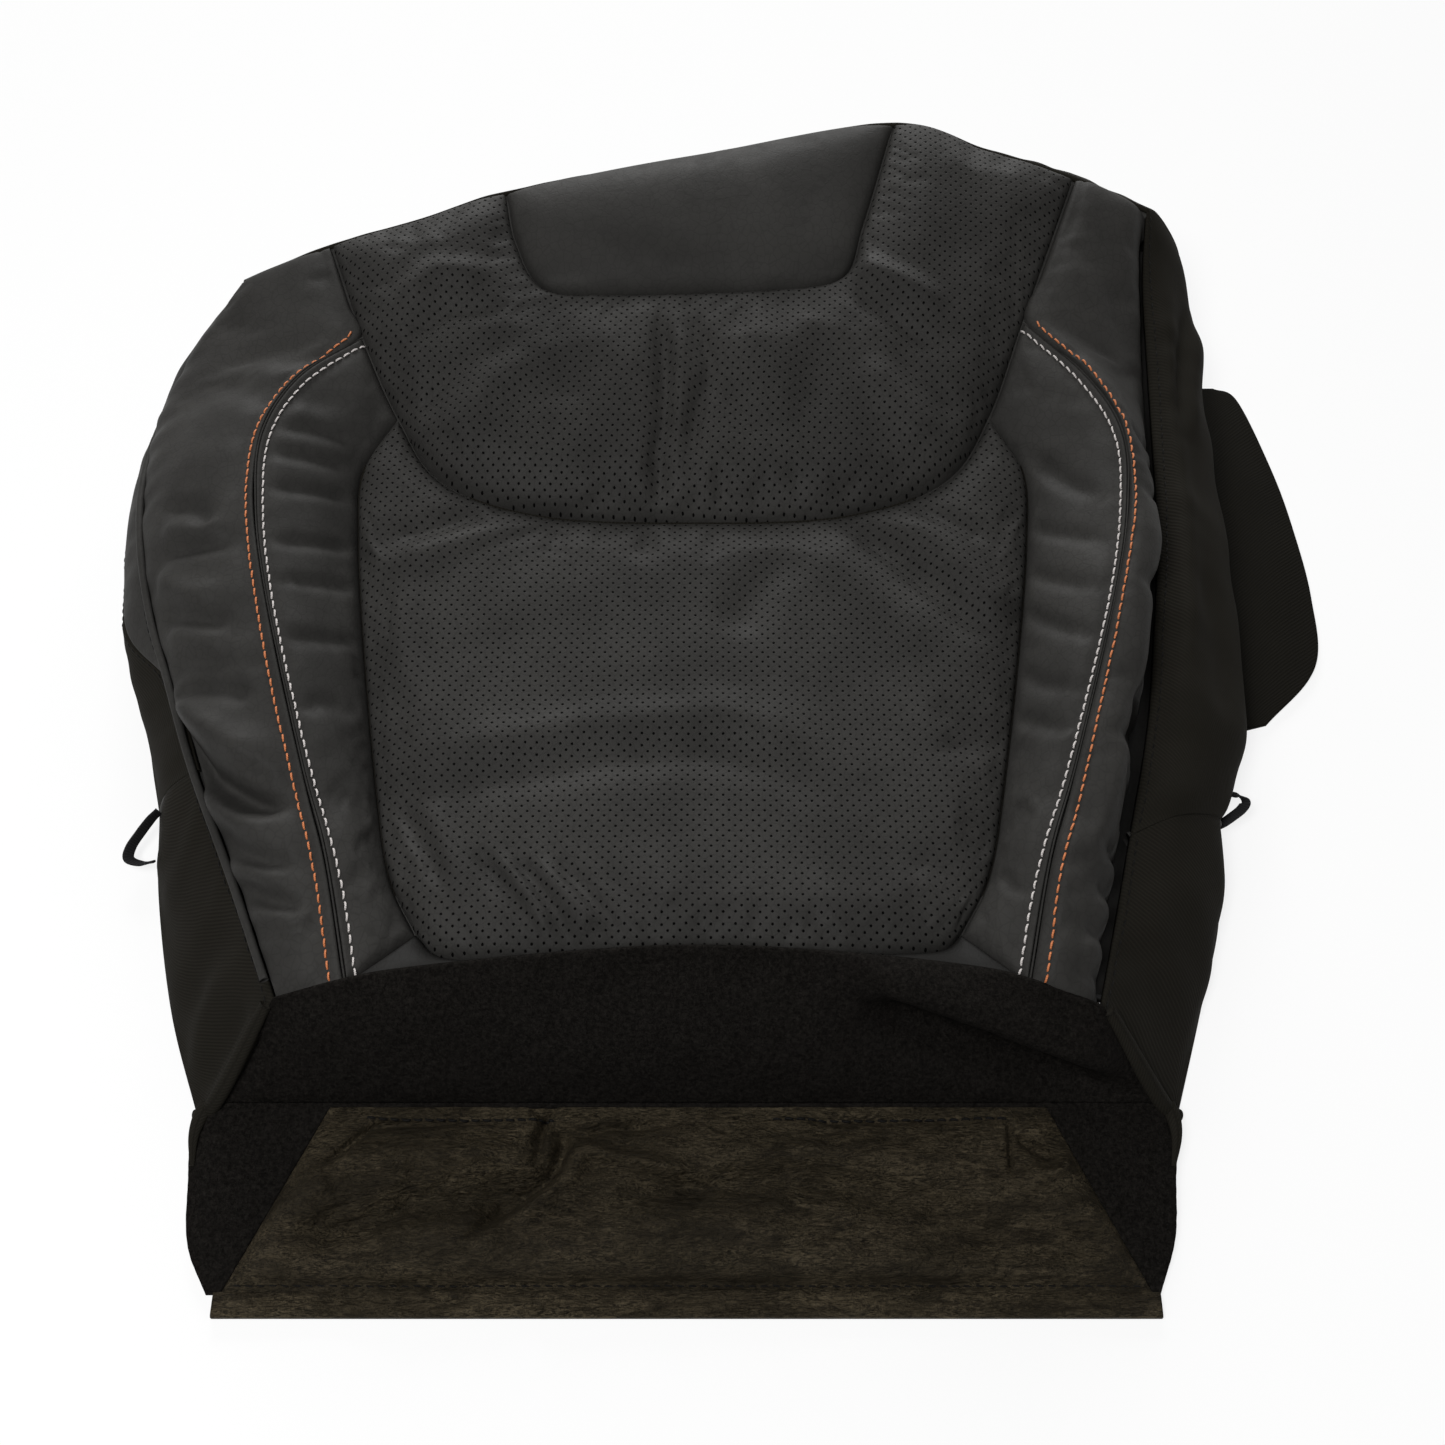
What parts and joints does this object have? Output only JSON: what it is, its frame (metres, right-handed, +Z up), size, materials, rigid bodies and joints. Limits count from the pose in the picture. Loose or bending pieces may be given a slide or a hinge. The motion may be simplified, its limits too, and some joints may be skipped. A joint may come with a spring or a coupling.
{
  "type": "seat cushion trim cover",
  "caption": "Loose, empty trim cover of a vehicle seat cushion: leather panels with raised bolsters, fabric skirts, a rear felt and a folding tail flap.",
  "frame": {"origin": "on the floor, under the centre of the cover's outline", "axes": "+Y towards the cushion's front edge, +X towards the side flap, +Z up from the floor"},
  "size_m": [0.57, 0.5779, 0.0905],
  "materials": {
    "smooth_leather": "black grained leather, laminated to thin foam",
    "perforated_leather": "black leather with fine staggered perforation",
    "skirt_fabric": "black woven skirt fabric",
    "loop_tape": "black narrow woven tape",
    "felt": "black needled felt",
    "tail_nonwoven": "brown-black pressed non-woven cloth",
    "listing_wire": "plain drawn steel wire",
    "hem_plastic": "natural extruded plastic strip",
    "retainer_plastic": "black extruded plastic"
  },
  "bodies": {
    "cover": {"seat_insert": "perforated_leather", "thigh_panel": "perforated_leather", "nose_panel": "smooth_leather", "inner_bolster_left": "smooth_leather", "inner_bolster_right": "smooth_leather", "outer_bolster_left": "smooth_leather", "outer_bolster_right": "smooth_leather", "rear_bridge": "smooth_leather", "side_panel_left": "smooth_leather", "piping_left": "smooth_leather", "front_skirt": "skirt_fabric", "skirt_left_upper": "skirt_fabric", "skirt_left_lower": "skirt_fabric", "skirt_right_upper": "skirt_fabric", "skirt_right_lower": "skirt_fabric", "rear_felt": "felt", "sleeve_left": "skirt_fabric", "sleeve_right": "skirt_fabric", "sleeve_thigh": "skirt_fabric", "sleeve_rear": "skirt_fabric", "wire_left": "listing_wire", "wire_right": "listing_wire", "wire_thigh": "listing_wire", "wire_rear": "listing_wire", "front_retainer": "retainer_plastic"},
    "tail": {"tail_binding": "tail_nonwoven", "tail_flap": "tail_nonwoven", "tail_wing_left": "felt", "tail_wing_right": "felt", "tail_hem": "tail_nonwoven", "hem_strip": "hem_plastic"},
    "side_flap": {"side_flap_binding": "skirt_fabric", "side_flap_right": "skirt_fabric"},
    "loop_left": {"pull_loop_left": "loop_tape"},
    "loop_right": {"pull_loop_right": "loop_tape"}
  },
  "joints": [
    {"name": "tail_fold", "type": "hinge", "parent": "cover", "child": "tail", "pos_m": [-0.0143, -0.206, 0.0105], "axis": [1, 0, 0], "range_deg": [-85, 95]},
    {"name": "side_flap_fold", "type": "hinge", "parent": "cover", "child": "side_flap", "pos_m": [0.238, 0.078, 0.0012], "axis": [0, 1, 0], "range_deg": [-60, 90]},
    {"name": "loop_left_swing", "type": "hinge", "parent": "cover", "child": "loop_left", "pos_m": [-0.2516, -0.072, 0.013], "axis": [0, 0.9762, 0.2169], "range_deg": [-15, 45]},
    {"name": "loop_right_swing", "type": "hinge", "parent": "cover", "child": "loop_right", "pos_m": [0.2318, -0.0525, 0.013], "axis": [0.4106, 0.9004, 0.1441], "range_deg": [-28, 30]}
  ]
}
